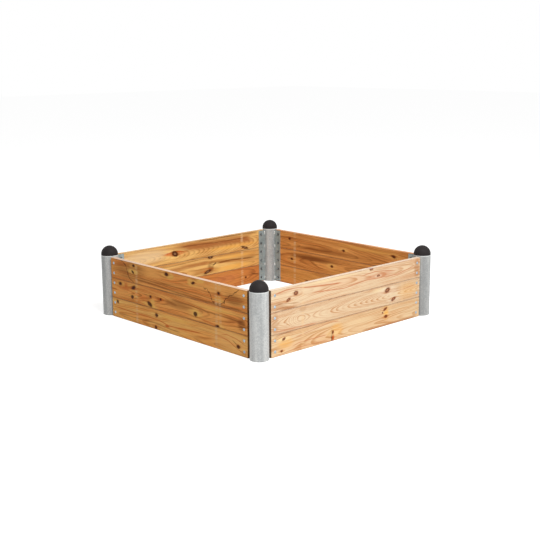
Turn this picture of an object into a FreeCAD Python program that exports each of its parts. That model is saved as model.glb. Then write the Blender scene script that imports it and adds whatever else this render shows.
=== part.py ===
import FreeCAD, Part
import math
import os
import Sketcher

# A raised garden bed: a square, bottomless frame of planks on edge. Each side is three planks high. The
# planks are bolted to steel fins, which are welded to a round galvanised post at each corner, and a plastic
# dome closes each post. The origin is on the ground at the centre of the bed and +Z is up.
#
# The bed is the same after every quarter turn. Each piece is drawn once in a frame of its own, given its
# place on the front side or on the front left post, and turned about the bed's centre to the other sides and
# posts. On the front side, +X runs to the right as seen from outside, and -Y points out of the bed.

# ---- Driving dimensions, in millimetres -------------------------------------------------------------------

SIZES = (
    ("board_length", 1200, "plank, along its side of the bed"),
    ("board_width", 118, "plank, from its lower to its upper edge"),
    ("board_thickness", 28, "plank"),
    ("board_edge_round", 2.5, "the plank's four long edges"),
    ("board_gap", 1, "joint between two planks"),
    ("board_end_gap", 6, "from a plank's end to the tube"),
    ("tube_diameter", 100, "post tube, outside"),
    ("tube_wall", 2, "post tube"),
    ("tube_rise", 5.5, "tube's upper end above the upper plank"),
    ("tube_edge_round", 0.6, "outer edge at each end of the tube"),
    ("fin_thickness", 3, "flat bar"),
    ("fin_edge_distance", 19.5, "bolt axis to the fin's free edge"),
    ("fin_foot", 6, "fin's lower end above the ground"),
    ("fin_head", 3, "fin's upper end below the top of the upper plank"),
    ("fin_corner_round", 1.5, "free corners of the fin"),
    ("weld_leg", 5, "weld bead's reach along the tube and along the fin"),
    ("weld_length", 22, "one bead"),
    ("weld_end_distance", 19, "middle of an outer bead to the fin's end"),
    ("weld_middle_spacing", 125, "between the two inner beads"),
    ("bolt_diameter", 6, "carriage bolt"),
    ("bolt_end_distance", 26.5, "bolt axis to the plank's end"),
    ("bolt_edge_distance", 29.25, "bolt axis to the plank's long edge"),
    ("bolt_clearance", 0.3, "between bolt and hole, all round"),
    ("bolt_head_overhang", 5, "head beyond the shank, all round"),
    ("bolt_head_rim", 0.6, "upright edge of the domed head"),
    ("bolt_head_dome", 3, "dome above that edge"),
    ("bolt_neck_oversize", 0.2, "flats of the square neck beyond the shank"),
    ("bolt_neck_length", 4, "square neck"),
    ("bolt_tail", 2.4, "shank beyond the nut"),
    ("bolt_tail_chamfer", 0.8, "at the shank's end"),
    ("washer_ring", 5.7, "washer, from its bore to its rim"),
    ("washer_thickness", 1.6, "washer"),
    ("nut_wall", 2, "nut, from the shank to a flat"),
    ("nut_height", 5, "nut"),
    ("nut_thread_clearance", 0.05, "between the nut's bore and the shank, all round"),
    ("cap_lip", 5, "upright edge of the cap below its dome"),
    ("cap_lip_round", 1, "lower edge of the cap's lip"),
    ("cap_wall", 3, "the cap's dome"),
    ("cap_sleeve_wall", 3, "sleeve of the cap inside the tube"),
    ("cap_sleeve_depth", 30, "sleeve below the tube's upper end"),
    ("cap_sleeve_chamfer", 1.2, "lead-in at the sleeve's lower end"),
    ("cap_clearance", 0.2, "between the sleeve and the tube, all round"),
)

# The planks of one side from the ground up, and the four sides and posts in the order of their quarter turns.
# The post with a side's own number stands at its left end, and the next one at its right end.
LEVELS = ("bottom", "middle", "top")
SIDES = ("front", "right", "back", "left")
POSTS = ("front_left", "front_right", "back_right", "back_left")
QUARTER_TURNS = ((1, 0), (0, 1), (-1, 0), (0, -1))
HALF_TURN = 180
FULL_TURN = 360
BOLTS_PER_BOARD_END = 2

# ---- Sizes and places that follow from them ---------------------------------------------------------------

TUBE_RADIUS = "(Sizes.tube_diameter / 2)"
BOARD_PITCH = "(Sizes.board_width + Sizes.board_gap)"
STACK_HEIGHT = f"({len(LEVELS)} * {BOARD_PITCH} - Sizes.board_gap)"
TUBE_HEIGHT = f"({STACK_HEIGHT} + Sizes.tube_rise)"
POST_PLACE = f"(Sizes.board_length / 2 + Sizes.board_end_gap + {TUBE_RADIUS})"

FIN_HALF = "(Sizes.fin_thickness / 2)"
FIN_HEIGHT = f"({STACK_HEIGHT} - Sizes.fin_foot - Sizes.fin_head)"
BOLT_FROM_POST = f"({TUBE_RADIUS} + Sizes.board_end_gap + Sizes.bolt_end_distance)"
FIN_REACH = f"({BOLT_FROM_POST} + Sizes.fin_edge_distance)"

BOLT_RADIUS = "(Sizes.bolt_diameter / 2)"
BOLT_SPACING = "(Sizes.board_width - 2 * Sizes.bolt_edge_distance)"
BOLT_GRIP = "(Sizes.board_thickness + Sizes.fin_thickness + Sizes.washer_thickness + Sizes.nut_height)"
HOLE_RADIUS = f"({BOLT_RADIUS} + Sizes.bolt_clearance)"
NECK_HALF = f"({BOLT_RADIUS} + Sizes.bolt_neck_oversize)"
CAP_SLEEVE_RADIUS = f"({TUBE_RADIUS} - Sizes.tube_wall - Sizes.cap_clearance)"

# Faces of the front side, as distances out from the centre of the bed.
BOARD_INNER_FACE = f"({POST_PLACE} + {FIN_HALF})"
BOARD_OUTER_FACE = f"({BOARD_INNER_FACE} + Sizes.board_thickness)"
FIN_INNER_FACE = f"({POST_PLACE} - {FIN_HALF})"
WASHER_INNER_FACE = f"({FIN_INNER_FACE} - Sizes.washer_thickness)"

# Two edges or faces that lie closer than this share of the piece's own length are in the same place.
SAME_PLACE = 1e-5


# ---- Drawing helpers --------------------------------------------------------------------------------------

def size_sheet(doc):
    """The sheet of driving dimensions: a name, a number and what the number measures."""
    sheet = doc.addObject("Spreadsheet::Sheet", "Sizes")
    for row, (alias, value, meaning) in enumerate(SIZES, start=1):
        sheet.set(f"A{row}", alias)
        sheet.set(f"B{row}", str(value))
        sheet.set(f"C{row}", meaning)
        sheet.setAlias(f"B{row}", alias)
    doc.recompute()


def new_body(doc, label):
    body = doc.addObject("PartDesign::Body", label)
    body.Label = label
    return body


def origin_feature(body, role):
    return next(feature for feature in body.Origin.OriginFeatures if feature.Role == role)


def new_sketch(body, name, role):
    """A sketch on one of the body's own origin planes."""
    sketch = body.newObject("Sketcher::SketchObject", name)
    sketch.AttachmentSupport = [(origin_feature(body, role), "")]
    sketch.MapMode = "FlatFace"
    return sketch


def point_at(sketch, x, y):
    return FreeCAD.Vector(sketch.evalExpression(x), sketch.evalExpression(y), 0)


def pin_point(sketch, geometry, end, x, y):
    """Holds one point of a sketch at (x, y): on an axis where the formula is 0, else by a dimension."""
    for kind, formula, axis in (("DistanceX", x, -2), ("DistanceY", y, -1)):
        if formula == "0":
            sketch.addConstraint(Sketcher.Constraint("PointOnObject", geometry, end, axis))
        else:
            value = sketch.evalExpression(formula)
            number = sketch.addConstraint(Sketcher.Constraint(kind, -1, 1, geometry, end, value))
            sketch.setExpression(f"Constraints[{number}]", formula)


def add_dome(sketch, start, end):
    """An arc with its centre on the sketch's Y axis. Returns the arc's own numbers of its two ends."""
    height = (end.x**2 - start.x**2 + end.y**2 - start.y**2) / (2 * (end.y - start.y))
    centre = FreeCAD.Vector(0, height, 0)
    angles = [math.atan2(point.y - height, point.x) for point in (start, end)]
    round_line = Part.Circle(centre, FreeCAD.Vector(0, 0, 1), (start - centre).Length)
    number = sketch.addGeometry(Part.ArcOfCircle(round_line, min(angles), max(angles)))
    sketch.addConstraint(Sketcher.Constraint("PointOnObject", number, 3, -2))
    return (1, 2) if angles[0] < angles[1] else (2, 1)


def closed_outline(sketch, corners, domes=()):
    """Closed outline through the corners (x, y). From a corner whose number is in domes it follows an arc
    with its centre on the Y axis, and elsewhere it is straight."""
    first = sketch.GeometryCount
    points = [point_at(sketch, *corner) for corner in corners]
    ends = []
    for number, start in enumerate(points):
        end = points[(number + 1) % len(points)]
        if number in domes:
            ends.append(add_dome(sketch, start, end))
        else:
            sketch.addGeometry(Part.LineSegment(start, end))
            ends.append((1, 2))
    for number, corner in enumerate(corners):
        after = (number + 1) % len(corners)
        join = Sketcher.Constraint(
            "Coincident", first + number, ends[number][1], first + after, ends[after][0]
        )
        sketch.addConstraint(join)
        pin_point(sketch, first + number, ends[number][0], *corner)


def rectangle(sketch, left, right, bottom, top):
    closed_outline(sketch, ((left, bottom), (right, bottom), (right, top), (left, top)))


def circle(sketch, x, y, radius):
    size = sketch.evalExpression(radius)
    number = sketch.addGeometry(Part.Circle(point_at(sketch, x, y), FreeCAD.Vector(0, 0, 1), size))
    pin_point(sketch, number, 3, x, y)
    dimension = sketch.addConstraint(Sketcher.Constraint("Radius", number, size))
    sketch.setExpression(f"Constraints[{dimension}]", radius)


def pad(body, sketch, length, side="One side", backwards=False):
    feature = body.newObject("PartDesign::Pad", f"{sketch.Name}Pad")
    feature.Profile = sketch
    feature.setExpression("Length", length)
    feature.SideType = side
    feature.Reversed = backwards
    return feature


def pocket(body, sketch, depth=None):
    """Cuts a sketch to a depth, against the sketch's normal, or with no depth right through both ways."""
    feature = body.newObject("PartDesign::Pocket", f"{sketch.Name}Pocket")
    feature.Profile = sketch
    if depth:
        feature.setExpression("Length", depth)
    else:
        feature.Type = "ThroughAll"
        feature.SideType = "Symmetric"
    return feature


def turned(body, kind, sketch):
    """Turns a profile once round the sketch's Y axis, as a Revolution or as a Groove."""
    feature = body.newObject(f"PartDesign::{kind}", f"{sketch.Name}{kind}")
    feature.Profile = sketch
    feature.ReferenceAxis = (sketch, ["V_Axis"])
    feature.Angle = FULL_TURN
    return feature


def rounded(body, base, size, chosen):
    """Rounds the edges of the last feature that a test on the edge's and the whole feature's box chooses."""
    body.Document.recompute()
    whole = base.Shape.BoundBox
    edges = [
        f"Edge{number}"
        for number, edge in enumerate(base.Shape.Edges, start=1)
        if chosen(edge.BoundBox, whole)
    ]
    feature = body.newObject("PartDesign::Fillet", f"{base.Name}Fillet")
    feature.Base = (base, edges)
    feature.setExpression("Radius", size)
    body.Document.recompute()
    return feature


def same(one, other, whole):
    return abs(one - other) < SAME_PLACE * whole.DiagonalLength


def repeat_upwards(body, rows, hole=None):
    """Repeats one hole, or else the whole body, along +Z: so many times at a spacing, and all of those again
    for each further row of (spacing, how many)."""
    body.Document.recompute()
    repeats = body.newObject("PartDesign::MultiTransform", f"{body.Name}Repeats")
    patterns = []
    for spacing, count in rows:
        pattern = body.Document.addObject("PartDesign::LinearPattern", f"{body.Name}Row")
        pattern.Direction = (origin_feature(body, "Z_Axis"), [""])
        pattern.Mode = "Spacing"
        pattern.setExpression("Offset", spacing)
        pattern.Occurrences = count
        patterns.append(pattern)
    if hole:
        repeats.Originals = [hole]
    else:
        repeats.TransformMode = "Whole shape"
    repeats.Transformations = patterns
    body.Tip = repeats


def repeat_at_bolts(body, hole=None):
    """Repeats a hole or the whole body at the bolts of one end of a side: in pairs, plank by plank."""
    repeat_upwards(body, ((BOLT_SPACING, BOLTS_PER_BOARD_END), (BOARD_PITCH, len(LEVELS))), hole)


def put(piece, turns, right, out, up="0", extra_turn=0):
    """Places a piece on the side that is so many quarter turns from the front: so far right and out of the
    bed's centre, as seen from outside that side, and so far up."""
    cosine, sine = QUARTER_TURNS[turns]
    angle = turns * FULL_TURN / len(QUARTER_TURNS) + extra_turn
    piece.Placement = FreeCAD.Placement(FreeCAD.Vector(), FreeCAD.Rotation(FreeCAD.Vector(0, 0, 1), angle))
    piece.setExpression(".Placement.Base.x", f"{cosine} * {right} + {sine} * {out}")
    piece.setExpression(".Placement.Base.y", f"{sine} * {right} - {cosine} * {out}")
    piece.setExpression(".Placement.Base.z", up)
    return piece


# ---- Posts ------------------------------------------------------------------------------------------------

def post_tube(doc, label):
    """Open tube that stands on the ground. Its origin is on its axis at the ground."""
    body = new_body(doc, label)
    ring = new_sketch(body, "TubeRing", "XY_Plane")
    circle(ring, "0", "0", TUBE_RADIUS)
    circle(ring, "0", "0", f"({TUBE_RADIUS} - Sizes.tube_wall)")
    tube = pad(body, ring, TUBE_HEIGHT)
    rounded(
        body, tube, "Sizes.tube_edge_round",
        lambda edge, whole: same(edge.XLength, whole.XLength, whole) and same(edge.ZLength, 0, whole),
    )
    return body


def post_cap(doc, label):
    """Hollow dome with an upright lip on the tube's end, and a sleeve inside the tube. Its origin is on the
    tube's axis, level with the tube's end."""
    sleeve_bore = f"({CAP_SLEEVE_RADIUS} - Sizes.cap_sleeve_wall)"
    dome_bore = f"({TUBE_RADIUS} - Sizes.cap_wall)"
    foot = "(-Sizes.cap_sleeve_depth)"
    corners = (
        (sleeve_bore, foot),
        (f"({CAP_SLEEVE_RADIUS} - Sizes.cap_sleeve_chamfer)", foot),
        (CAP_SLEEVE_RADIUS, f"({foot} + Sizes.cap_sleeve_chamfer)"),
        (CAP_SLEEVE_RADIUS, "0"),
        (TUBE_RADIUS, "0"),
        (TUBE_RADIUS, "Sizes.cap_lip"),
        ("0", f"(Sizes.cap_lip + {TUBE_RADIUS})"),
        ("0", f"(Sizes.cap_lip + {dome_bore})"),
        (dome_bore, "Sizes.cap_lip"),
        (sleeve_bore, "Sizes.cap_lip"),
    )
    body = new_body(doc, label)
    profile = new_sketch(body, "CapProfile", "XZ_Plane")
    closed_outline(profile, corners, domes=(5, 7))
    cap = turned(body, "Revolution", profile)
    rounded(
        body, cap, "Sizes.cap_lip_round",
        lambda edge, whole: same(edge.XLength, whole.XLength, whole) and same(edge.ZMax, 0, whole),
    )
    return body


def fin(doc, label):
    """Flat bar that stands out from the tube along +X, drilled for the bolts of one end of a side. Its origin
    is on the tube's axis, level with the bar's lower end."""
    body = new_body(doc, label)
    plate = new_sketch(body, "FinPlate", "XZ_Plane")
    rectangle(plate, TUBE_RADIUS, FIN_REACH, "0", FIN_HEIGHT)
    bar = pad(body, plate, "Sizes.fin_thickness", side="Symmetric")
    rounded(
        body, bar, "Sizes.fin_corner_round",
        lambda edge, whole: same(edge.XMin, whole.XMax, whole) and same(edge.ZLength, 0, whole),
    )
    hole = new_sketch(body, "FinHole", "XZ_Plane")
    circle(hole, BOLT_FROM_POST, "(Sizes.bolt_edge_distance - Sizes.fin_foot)", HOLE_RADIUS)
    repeat_at_bolts(body, pocket(body, hole))
    return body


def weld_beads(doc, label):
    """Stitch welds in the two valleys between the tube and the inner faces of its fins. The origin is on the
    tube's axis at the ground. A bead is a round bar with round ends along the valley's line, without the
    space that the tube, the fin and whatever is outside the fin fill."""
    outer_reach = f"({FIN_HEIGHT} / 2 - Sizes.weld_end_distance)"
    inner_reach = "(Sizes.weld_middle_spacing / 2)"
    low = "(Sizes.fin_foot + Sizes.weld_end_distance - Sizes.weld_length / 2 + Sizes.weld_leg)"
    high = f"({low} + Sizes.weld_length - 2 * Sizes.weld_leg)"
    body = new_body(doc, label)
    bead = body.newObject("PartDesign::AdditiveCylinder", "Bead")
    bead.setExpression("Height", f"{high} - {low}")
    lower_end = body.newObject("PartDesign::AdditiveSphere", "LowerEnd")
    upper_end = body.newObject("PartDesign::AdditiveSphere", "UpperEnd")
    for feature, height in ((bead, low), (lower_end, low), (upper_end, high)):
        feature.setExpression("Radius", "Sizes.weld_leg")
        feature.setExpression(".Placement.Base.x", TUBE_RADIUS)
        feature.setExpression(".Placement.Base.y", FIN_HALF)
        feature.setExpression(".Placement.Base.z", height)

    fin_space = body.newObject("PartDesign::SubtractiveBox", "FinSpace")
    fin_space.setExpression("Length", FIN_REACH)
    fin_space.setExpression("Width", f"({TUBE_RADIUS} + {FIN_HALF})")
    fin_space.setExpression("Height", TUBE_HEIGHT)
    fin_space.setExpression(".Placement.Base.y", f"-1 * {TUBE_RADIUS}")
    tube_space = body.newObject("PartDesign::SubtractiveCylinder", "TubeSpace")
    tube_space.setExpression("Radius", TUBE_RADIUS)
    tube_space.setExpression("Height", TUBE_HEIGHT)

    # Four beads up the fin: an outer and an inner one below its middle, and the same pair above it.
    repeat_upwards(body, ((f"{outer_reach} - {inner_reach}", 2), (f"{outer_reach} + {inner_reach}", 2)))

    # The other valley is the mirror image in the upright plane halfway between the two fins.
    half_way = body.newObject("PartDesign::Plane", "HalfWay")
    half_way.AttachmentSupport = [(origin_feature(body, "XZ_Plane"), "")]
    half_way.MapMode = "FlatFace"
    lean = FreeCAD.Rotation(FreeCAD.Vector(0, 1, 0), FULL_TURN / len(POSTS) / 2)
    half_way.AttachmentOffset = FreeCAD.Placement(FreeCAD.Vector(), lean)
    body.Document.recompute()
    other_valley = body.newObject("PartDesign::Mirrored", "OtherValley")
    other_valley.TransformMode = "Whole shape"
    other_valley.MirrorPlane = (half_way, [""])
    body.Tip = other_valley
    return body


# ---- Planks -----------------------------------------------------------------------------------------------

def board(doc, label):
    """One plank, drilled at both ends. Its origin is at the middle of its length, on its lower edge and its
    inner face. Its outer face looks along -Y and has a square recess at each hole for the bolt's neck."""
    half_length = "(Sizes.board_length / 2)"
    body = new_body(doc, label)
    face = new_sketch(body, "BoardFace", "XZ_Plane")
    rectangle(face, f"(-1 * {half_length})", half_length, "0", "Sizes.board_width")
    plank = pad(body, face, "Sizes.board_thickness")
    rounded(
        body, plank, "Sizes.board_edge_round",
        lambda edge, whole: same(edge.XLength, whole.XLength, whole),
    )

    bolt_x = f"({half_length} - Sizes.bolt_end_distance)"
    heights = ("Sizes.bolt_edge_distance", "(Sizes.board_width - Sizes.bolt_edge_distance)")
    bolt_places = [(f"({side} * {bolt_x})", height) for side in (-1, 1) for height in heights]
    holes = new_sketch(body, "BoltHoles", "XZ_Plane")
    for x, height in bolt_places:
        circle(holes, x, height, HOLE_RADIUS)
    pocket(body, holes)

    recesses = new_sketch(body, "NeckRecesses", "XZ_Plane")
    recesses.setExpression(".AttachmentOffset.Base.z", "Sizes.board_thickness")
    for x, height in bolt_places:
        rectangle(
            recesses,
            f"({x} - {NECK_HALF})", f"({x} + {NECK_HALF})",
            f"({height} - {NECK_HALF})", f"({height} + {NECK_HALF})",
        )
    pocket(body, recesses, "Sizes.bolt_neck_length")
    return body


# ---- Fasteners --------------------------------------------------------------------------------------------
# Each node holds the six bolts, washers or nuts of one end of a side. The origin is on the lowest bolt's
# axis, on the face that the head, washer or nut lies against, and +Y points into the bed.

def bolts(doc, label):
    """Carriage bolts: a domed head on the plank's outer face, a square neck and a shank."""
    head_radius = f"({BOLT_RADIUS} + Sizes.bolt_head_overhang)"
    length = f"({BOLT_GRIP} + Sizes.bolt_tail)"
    corners = (
        ("0", "(-1 * (Sizes.bolt_head_rim + Sizes.bolt_head_dome))"),
        (head_radius, "(-Sizes.bolt_head_rim)"),
        (head_radius, "0"),
        (BOLT_RADIUS, "0"),
        (BOLT_RADIUS, f"({length} - Sizes.bolt_tail_chamfer)"),
        (f"({BOLT_RADIUS} - Sizes.bolt_tail_chamfer)", length),
        ("0", length),
    )
    body = new_body(doc, label)
    profile = new_sketch(body, "BoltProfile", "XY_Plane")
    closed_outline(profile, corners, domes=(0,))
    turned(body, "Revolution", profile)
    neck = new_sketch(body, "BoltNeck", "XZ_Plane")
    low = f"(-1 * {NECK_HALF})"
    rectangle(neck, low, NECK_HALF, low, NECK_HALF)
    pad(body, neck, "Sizes.bolt_neck_length", backwards=True)
    repeat_at_bolts(body)
    return body


def washers(doc, label):
    """Flat washers on the fin's inner face."""
    body = new_body(doc, label)
    ring = new_sketch(body, "WasherRing", "XZ_Plane")
    circle(ring, "0", "0", HOLE_RADIUS)
    circle(ring, "0", "0", f"({HOLE_RADIUS} + Sizes.washer_ring)")
    pad(body, ring, "Sizes.washer_thickness", backwards=True)
    repeat_at_bolts(body)
    return body


def nuts(doc, label):
    """Hexagon nuts on the washers, with their free corners chamfered at 30 degrees."""
    flat = f"({BOLT_RADIUS} + Sizes.nut_wall)"
    shoulder = f"({flat} * tan(30 deg))"
    tip = f"({flat} / cos(30 deg))"
    hexagon = (
        (flat, f"(-1 * {shoulder})"),
        (flat, shoulder),
        ("0", tip),
        (f"(-1 * {flat})", shoulder),
        (f"(-1 * {flat})", f"(-1 * {shoulder})"),
        ("0", f"(-1 * {tip})"),
    )
    chamfer = (
        (flat, "Sizes.nut_height"),
        (f"(2 * {flat})", f"(Sizes.nut_height - {shoulder})"),
        (f"(2 * {flat})", "Sizes.nut_height"),
    )
    body = new_body(doc, label)
    outline = new_sketch(body, "NutHexagon", "XZ_Plane")
    closed_outline(outline, hexagon)
    circle(outline, "0", "0", f"({BOLT_RADIUS} + Sizes.nut_thread_clearance)")
    pad(body, outline, "Sizes.nut_height", backwards=True)
    corner_profile = new_sketch(body, "NutChamfer", "XY_Plane")
    closed_outline(corner_profile, chamfer)
    turned(body, "Groove", corner_profile)
    repeat_at_bolts(body)
    return body


# ---- The whole bed ----------------------------------------------------------------------------------------

def raised_bed(doc):
    """Every piece of the bed, in its place."""
    left_post = f"(-1 * {POST_PLACE})"
    bolt_right = f"({POST_PLACE} - {BOLT_FROM_POST})"
    bolt_left = f"(-1 * {bolt_right})"
    pieces = []
    for turns, post in enumerate(POSTS):
        pieces.append(put(post_tube(doc, f"{post}_post_tube"), turns, left_post, POST_PLACE))
        pieces.append(put(post_cap(doc, f"{post}_post_cap"), turns, left_post, POST_PLACE, TUBE_HEIGHT))
        pieces.append(put(weld_beads(doc, f"{post}_post_welds"), turns, left_post, POST_PLACE))

    for turns, side in enumerate(SIDES):
        for number, level in enumerate(LEVELS):
            plank = board(doc, f"{side}_board_{level}")
            pieces.append(put(plank, turns, "0", BOARD_INNER_FACE, f"({number} * {BOARD_PITCH})"))
        ends = (
            (POSTS[turns], left_post, bolt_left, 0),
            (POSTS[(turns + 1) % len(POSTS)], POST_PLACE, bolt_right, HALF_TURN),
        )
        for post, post_right, bolt_place, fin_turn in ends:
            name = f"{post}_post_{side}"
            bar = fin(doc, f"{name}_fin")
            pieces.append(put(bar, turns, post_right, POST_PLACE, "Sizes.fin_foot", fin_turn))
            fasteners = (
                (bolts(doc, f"{name}_bolts"), BOARD_OUTER_FACE),
                (washers(doc, f"{name}_washers"), FIN_INNER_FACE),
                (nuts(doc, f"{name}_nuts"), WASHER_INNER_FACE),
            )
            for group, face in fasteners:
                pieces.append(put(group, turns, bolt_place, face, "Sizes.bolt_edge_distance"))
    doc.recompute()
    return pieces


def check(doc, pieces):
    """Stops at any object that failed, and at any piece that has no sound shape."""
    for thing in doc.Objects:
        if {"Invalid", "Error"} & set(thing.State):
            raise RuntimeError(f"{thing.Label} ({thing.Name}) failed: {thing.State}")
    for piece in pieces:
        if piece.Shape.isNull() or not piece.Shape.isValid():
            raise RuntimeError(f"{piece.Label} has no sound shape")


document = FreeCAD.newDocument("RaisedBed")
size_sheet(document)
bed = raised_bed(document)
check(document, bed)
os.makedirs("parts", exist_ok=True)
for node in bed:
    node.Shape.exportStep(f"parts/{node.Label}.step")
    print(f"{node.Label}: {len(node.Shape.Solids)} solids, {node.Shape.Volume:.0f} cubic mm")
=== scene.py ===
# %% [markdown]
# # A raised garden bed in pine and galvanised steel
#
# The bed is a square frame with no bottom. Twelve knotty pine planks are bolted to steel fins, the fins are
# welded to four galvanised posts, and a black plastic dome closes each post. These shapes could be modelled
# by eye, but a measured model already holds every piece at its real size and place. So this lesson takes
# the shapes as they are and is about finish: what wood, zinc and plastic look like up close, and how to say
# that with nodes.

# %% Load the measured model
import math
from collections import namedtuple

import bpy
from mathutils import Matrix, Vector


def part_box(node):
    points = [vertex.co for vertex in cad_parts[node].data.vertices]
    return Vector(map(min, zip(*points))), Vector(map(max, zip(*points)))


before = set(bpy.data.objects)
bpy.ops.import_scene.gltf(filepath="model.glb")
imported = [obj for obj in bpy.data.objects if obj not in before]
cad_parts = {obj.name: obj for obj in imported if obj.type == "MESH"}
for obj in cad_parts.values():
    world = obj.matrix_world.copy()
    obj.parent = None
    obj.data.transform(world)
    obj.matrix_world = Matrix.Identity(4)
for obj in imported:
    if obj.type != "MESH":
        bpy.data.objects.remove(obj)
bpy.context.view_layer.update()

# %% [markdown]
# ## The camera
#
# The picture was taken from a little above the bed, turned so that one corner post points at the camera. A
# camera could be dragged about until the view looks right, or be made to track an empty object. Here it
# gets its place, three angles and a lens as plain numbers, because a view that is written down can be
# compared with the picture and corrected. The angles are the heading round the bed, the tilt downwards and
# a very small roll. A long lens from six metres away keeps the far side almost as large as the near one.

# %% Place the camera
CAMERA_PLACE = Vector((4.2697, -3.9770, 1.5302))
HEADING = math.radians(46.756)
TILT = math.radians(12.214)
ROLL = math.radians(-0.368)
LENS = 66.85


def aimed_camera(place, heading, tilt, roll, lens):
    """A camera that looks along +Y and level at heading 0, turned anticlockwise, tipped down and rolled."""
    right = Vector((math.cos(heading), math.sin(heading), 0))
    forward = Vector(
        (-math.sin(heading) * math.cos(tilt), math.cos(heading) * math.cos(tilt), -math.sin(tilt))
    )
    up = right.cross(forward)
    rolled_right = right * math.cos(roll) + up * math.sin(roll)
    rolled_up = up * math.cos(roll) - right * math.sin(roll)
    turn = Matrix((rolled_right, rolled_up, -forward)).transposed()
    camera = bpy.data.objects.new("camera", bpy.data.cameras.new("camera"))
    camera.data.lens = lens
    camera.matrix_world = Matrix.Translation(place) @ turn.to_4x4()
    bpy.context.scene.collection.objects.link(camera)
    return camera


bpy.context.scene.camera = aimed_camera(CAMERA_PLACE, HEADING, TILT, ROLL, LENS)
print("camera to bed:", round(CAMERA_PLACE.length, 2), "m")

# %% [markdown]
# ## Writing shader maths as formulas
#
# Each finish of the bed is a formula over its surface, such as how old the tree was where a point of a
# plank grew. In Blender that is a network of nodes. It could be wired by hand in the shader editor, but a
# hundred small Math nodes hide what they say. So a class wraps an output socket and lets Python's own
# operators add the Math nodes, and the formula stays readable.

# %% A socket that can be calculated with
class Wire:
    """One output of a node. Arithmetic on it adds Math nodes to its network."""

    def __init__(self, network, socket):
        self.network = network
        self.socket = socket

    def maths(self, operation, *others):
        return self.network.maths(operation, self, *others)

    def __add__(self, other):
        return self.maths("ADD", other)

    def __sub__(self, other):
        return self.maths("SUBTRACT", other)

    def __rsub__(self, other):
        return self.network.maths("SUBTRACT", other, self)

    def __mul__(self, other):
        return self.maths("MULTIPLY", other)

    def __truediv__(self, other):
        return self.maths("DIVIDE", other)

    def __rtruediv__(self, other):
        return self.network.maths("DIVIDE", other, self)

    def __abs__(self):
        return self.maths("ABSOLUTE")

    __radd__ = __add__
    __rmul__ = __mul__


print("operators that also work with a number on the left:", [name for name in vars(Wire) if "__r" in name])

# %% [markdown]
# ## Adding nodes
#
# A finish, the floor and the sky all need nodes. Each kind of node could have a function of its own, but
# they differ only in their type, settings and sockets. So one method adds any of them, and a finish is a
# network that ends in the sockets of one Principled shader.

# %% Networks and finishes
class Network:
    """A tree of nodes, and one method that adds any node to it."""

    def __init__(self, tree):
        self.tree = tree

    def node(self, kind, settings=None, inputs=None, output=0):
        """Adds one node. A ramp's stops are the setting 'stops'. Inputs are numbers, colours or wires."""
        made = self.tree.nodes.new(kind)
        for key, value in (settings or {}).items():
            if key == "stops":
                self.set_stops(made.color_ramp, value)
            else:
                setattr(made, key, value)
        for key, value in (inputs or {}).items():
            self.feed(made.inputs[key], value)
        return Wire(self, made.outputs[output])

    def set_stops(self, colour_ramp, stops):
        """Stops are pairs of a position and a grey value, both from 0 to 1."""
        while len(colour_ramp.elements) < len(stops):
            colour_ramp.elements.new(1.0)
        for element, (position, grey) in zip(colour_ramp.elements, stops):
            element.position = position
            element.color = (grey, grey, grey, 1)

    def feed(self, socket, value):
        """Links a wire to a socket, or sets the socket to a number or colour."""
        if isinstance(value, Wire):
            self.tree.links.new(value.socket, socket)
        else:
            socket.default_value = value

    def maths(self, operation, *values):
        return self.node("ShaderNodeMath", {"operation": operation}, dict(enumerate(values)))


class Finish(Network):
    """A material with one Principled shader."""

    def __init__(self, name):
        self.material = bpy.data.materials.new(name)
        self.material.use_nodes = True
        super().__init__(self.material.node_tree)
        self.shader = self.tree.nodes["Principled BSDF"]

    def set(self, **values):
        """Numbers, colours or wires for the shader's sockets. Base_Color stands for Base Color."""
        for key, value in values.items():
            self.feed(self.shader.inputs[key.replace("_", " ")], value)


print("what a finish can do:", [name for name in (*vars(Network), *vars(Finish)) if "__" not in name])

# %% [markdown]
# ## Places, vectors, soft steps and noise
#
# The grain of wood and the crystals of zinc run on round every edge of a piece. Flat picture coordinates
# would have to be unwrapped and would break at those edges. A point's own place in space needs no
# unwrapping, so all patterns here start from it, as noise and soft steps over the place.

# %% Places and vectors
def place_in_metres(finish):
    """Where a point of the piece is, in metres."""
    return finish.node("ShaderNodeTexCoord", output="Object")


def direction_faced(finish):
    """Which way the surface faces at that point."""
    return finish.node("ShaderNodeTexCoord", output="Normal")


def point(finish, x, y, z):
    return finish.node("ShaderNodeCombineXYZ", inputs={0: x, 1: y, 2: z})


def part(vector, axis):
    """One coordinate of a vector, by its number."""
    return vector.network.node("ShaderNodeSeparateXYZ", inputs={0: vector}, output=axis)


def vector_maths(operation, first, *others, output=0):
    values = dict(enumerate((first, *others)))
    return first.network.node("ShaderNodeVectorMath", {"operation": operation}, values, output)


def length(vector):
    return vector_maths("LENGTH", vector, output="Value")


def scaled(vector, factor):
    values = {0: vector, "Scale": factor}
    return vector.network.node("ShaderNodeVectorMath", {"operation": "SCALE"}, values)


ALONG, DEEP, UP = 0, 1, 2
print("coordinates on a plank: along", ALONG, "deep", DEEP, "up", UP)

# %% Soft steps, noise, blends and bumps
ONE_VALUE, THREE_VALUES = 0, 1


def ramp(value, start, end):
    """0 at start and 1 at end, with a soft foot and a soft shoulder. Start may be above end."""
    span = {"Value": value, "From Min": start, "From Max": end}
    return value.network.node("ShaderNodeMapRange", {"interpolation_type": "SMOOTHSTEP"}, span)


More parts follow.
